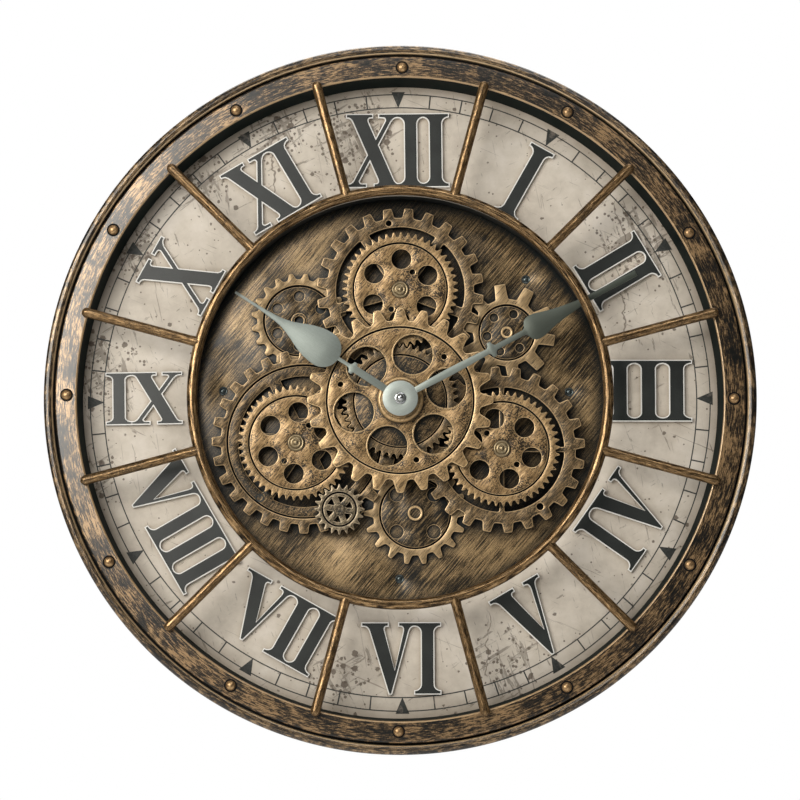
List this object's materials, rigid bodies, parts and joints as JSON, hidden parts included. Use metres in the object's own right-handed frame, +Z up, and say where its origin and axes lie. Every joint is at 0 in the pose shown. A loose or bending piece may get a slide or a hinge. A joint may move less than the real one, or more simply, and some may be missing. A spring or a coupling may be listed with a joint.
{
  "type": "skeleton wall clock",
  "caption": "Round wall clock with a spoked bronze frame, raised Roman numerals and an open well of turning gears behind two hands; it hangs by a keyhole plate.",
  "frame": {"origin": "point on the wall where the nail carries the clock, at the top of the hanger's slot", "axes": "+Z up, +Y into the wall, so the dial faces -Y, and +X to the right of the dial as it is read"},
  "size_m": [0.536, 0.076, 0.536],
  "materials": {
    "frame_bronze": "brushed antique bronze paint",
    "rod_bronze": "rubbed copper bronze paint",
    "gear_bronze": "brushed gold bronze with dark patina",
    "plate_bronze": "diagonally brushed dark bronze",
    "housing_black": "matt black",
    "dial_print": "beige distressed print on board",
    "numeral_black": "matt black",
    "hand_grey": "satin grey",
    "bright_steel": "polished",
    "black_plastic": "fine moulded texture",
    "back_board": "dark fibre board",
    "zinc_steel": "zinc plated",
    "rubber": "soft matt"
  },
  "bodies": {
    "clock_body": {"outer_frame": "frame_bronze", "spoke_ring": "rod_bronze", "spoke_01": "rod_bronze", "spoke_02": "rod_bronze", "spoke_03": "rod_bronze", "spoke_04": "rod_bronze", "spoke_05": "rod_bronze", "spoke_06": "rod_bronze", "spoke_07": "rod_bronze", "spoke_08": "rod_bronze", "spoke_09": "rod_bronze", "spoke_10": "rod_bronze", "spoke_11": "rod_bronze", "spoke_12": "rod_bronze", "dial": "dial_print", "numeral_01": "numeral_black", "numeral_02": "numeral_black", "numeral_03": "numeral_black", "numeral_04": "numeral_black", "numeral_05": "numeral_black", "numeral_06": "numeral_black", "numeral_07": "numeral_black", "numeral_08": "numeral_black", "numeral_09": "numeral_black", "numeral_10": "numeral_black", "numeral_11": "numeral_black", "numeral_12": "numeral_black", "gear_housing": "housing_black", "gear_plate": "plate_bronze", "back_ring": "back_board", "hanger_plate": "zinc_steel", "wall_bumper": "rubber", "upper_left_gear": "gear_bronze", "upper_right_gear": "gear_bronze", "bottom_gear": "gear_bronze", "upper_ring_gear": "gear_bronze", "right_ring_gear": "gear_bronze", "left_wheel": "gear_bronze", "arbor_upper": "zinc_steel", "arbor_right": "zinc_steel", "arbor_left": "zinc_steel", "centre_boss": "gear_bronze", "quartz_movement": "black_plastic", "gear_drive_case": "black_plastic", "gear_motor": "zinc_steel"},
    "centre_gears": {"centre_coarse_gear": "gear_bronze", "centre_fine_gear": "gear_bronze"},
    "upper_stack": {"upper_gear": "gear_bronze"},
    "right_stack": {"right_gear": "gear_bronze"},
    "left_stack": {"left_gear": "gear_bronze"},
    "pinion": {"drive_pinion": "gear_bronze"},
    "hour": {"hour_hand": "hand_grey", "hour_tube": "zinc_steel"},
    "minute": {"minute_hand": "hand_grey", "minute_shaft": "zinc_steel", "cap_nut": "bright_steel"},
    "knob": {"set_knob": "black_plastic"},
    "door": {"battery_door": "black_plastic"},
    "switch": {"gear_switch": "black_plastic"}
  },
  "joints": [
    {"name": "centre_spin", "type": "hinge", "parent": "clock_body", "child": "centre_gears", "pos_m": [0, -0.03, -0.215], "axis": [0, 1, 0], "continuous": true},
    {"name": "upper_spin", "type": "hinge", "parent": "clock_body", "child": "upper_stack", "pos_m": [0, -0.03, -0.1298], "axis": [0, 1, 0], "continuous": true},
    {"name": "right_spin", "type": "hinge", "parent": "clock_body", "child": "right_stack", "pos_m": [0.07709, -0.03, -0.25128], "axis": [0, 1, 0], "continuous": true},
    {"name": "left_spin", "type": "hinge", "parent": "clock_body", "child": "left_stack", "pos_m": [-0.07905, -0.03, -0.24678], "axis": [0, 1, 0], "continuous": true},
    {"name": "pinion_spin", "type": "hinge", "parent": "clock_body", "child": "pinion", "pos_m": [-0.04614, -0.03, -0.29736], "axis": [0, 1, 0], "continuous": true},
    {"name": "minute_turn", "type": "hinge", "parent": "clock_body", "child": "minute", "pos_m": [0, -0.03, -0.215], "axis": [0, 1, 0], "continuous": true},
    {"name": "hour_turn", "type": "hinge", "parent": "clock_body", "child": "hour", "pos_m": [0, -0.03, -0.215], "axis": [0, 1, 0], "continuous": true},
    {"name": "knob_turn", "type": "hinge", "parent": "clock_body", "child": "knob", "pos_m": [0.013, -0.03, -0.202], "axis": [0, 1, 0], "continuous": true},
    {"name": "door_slide", "type": "slide", "parent": "clock_body", "child": "door", "axis": [1, 0, 0], "range_m": [0, 0.06]},
    {"name": "switch_slide", "type": "slide", "parent": "clock_body", "child": "switch", "axis": [1, 0, 0], "range_m": [0, 0.0044]}
  ],
  "couplings": [
    {"joint": "upper_spin", "follows": "centre_spin", "ratio": -1},
    {"joint": "right_spin", "follows": "centre_spin", "ratio": -1},
    {"joint": "left_spin", "follows": "centre_spin", "ratio": -1},
    {"joint": "pinion_spin", "follows": "centre_spin", "ratio": 2.4},
    {"joint": "hour_turn", "follows": "minute_turn", "ratio": 0.083333},
    {"joint": "knob_turn", "follows": "minute_turn", "ratio": -0.33333}
  ]
}
